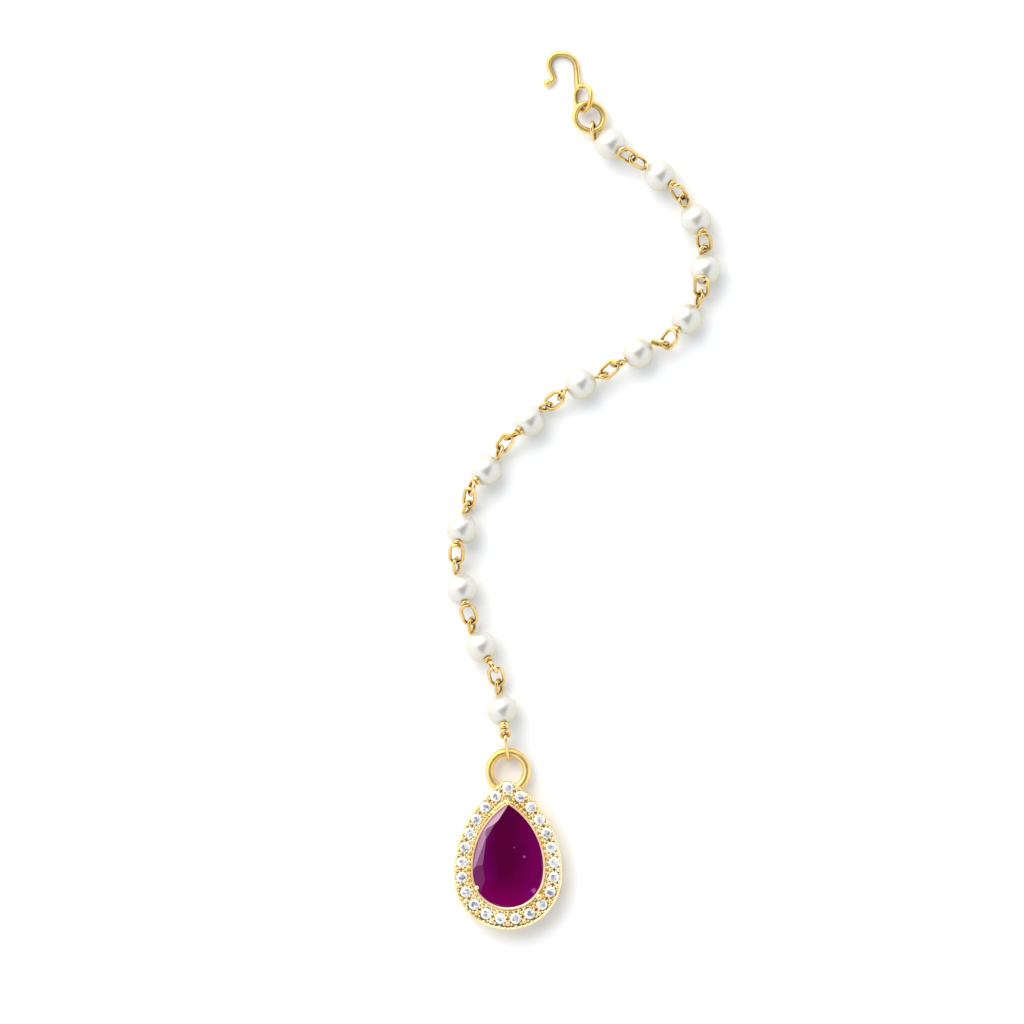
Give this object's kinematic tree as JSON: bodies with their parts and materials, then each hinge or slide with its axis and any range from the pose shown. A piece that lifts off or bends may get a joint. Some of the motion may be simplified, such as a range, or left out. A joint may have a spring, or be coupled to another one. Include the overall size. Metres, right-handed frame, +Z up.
{
  "type": "maang tikka",
  "caption": "Maang tikka lying flat: wire hook, jump ring, string of pearls on eye pins, and a pear pendant with a deep pink stone in a halo of clear stones.",
  "frame": {"origin": "middle of the whole length and width, on the surface that the piece lies on", "axes": "+Y from the pendant towards the hook, +Z up out of the surface, stones facing up"},
  "size_m": [0.0376, 0.1204, 0.0047],
  "materials": {
    "gold": "polished yellow gold plate",
    "pearl": "white pearl lustre",
    "crimson_stone": "faceted deep magenta stone",
    "clear_stone": "faceted clear stone"
  },
  "bodies": {
    "root": {"hook": "gold", "jump_ring": "gold", "setting": "gold", "bail_link": "gold", "link_06": "gold", "link_07": "gold", "link_08": "gold", "link_09": "gold", "link_12": "gold", "eye_pin_01": "gold", "eye_pin_02": "gold", "eye_pin_03": "gold", "eye_pin_04": "gold", "eye_pin_05": "gold", "eye_pin_06": "gold", "eye_pin_07": "gold", "eye_pin_08": "gold", "eye_pin_09": "gold", "eye_pin_10": "gold", "eye_pin_11": "gold", "eye_pin_12": "gold", "eye_pin_13": "gold", "pearl_01": "pearl", "pearl_02": "pearl", "pearl_03": "pearl", "pearl_04": "pearl", "pearl_05": "pearl", "pearl_06": "pearl", "pearl_07": "pearl", "pearl_08": "pearl", "pearl_09": "pearl", "pearl_10": "pearl", "pearl_11": "pearl", "pearl_12": "pearl", "pearl_13": "pearl", "centre_stone": "crimson_stone"}
  },
  "joints": []
}
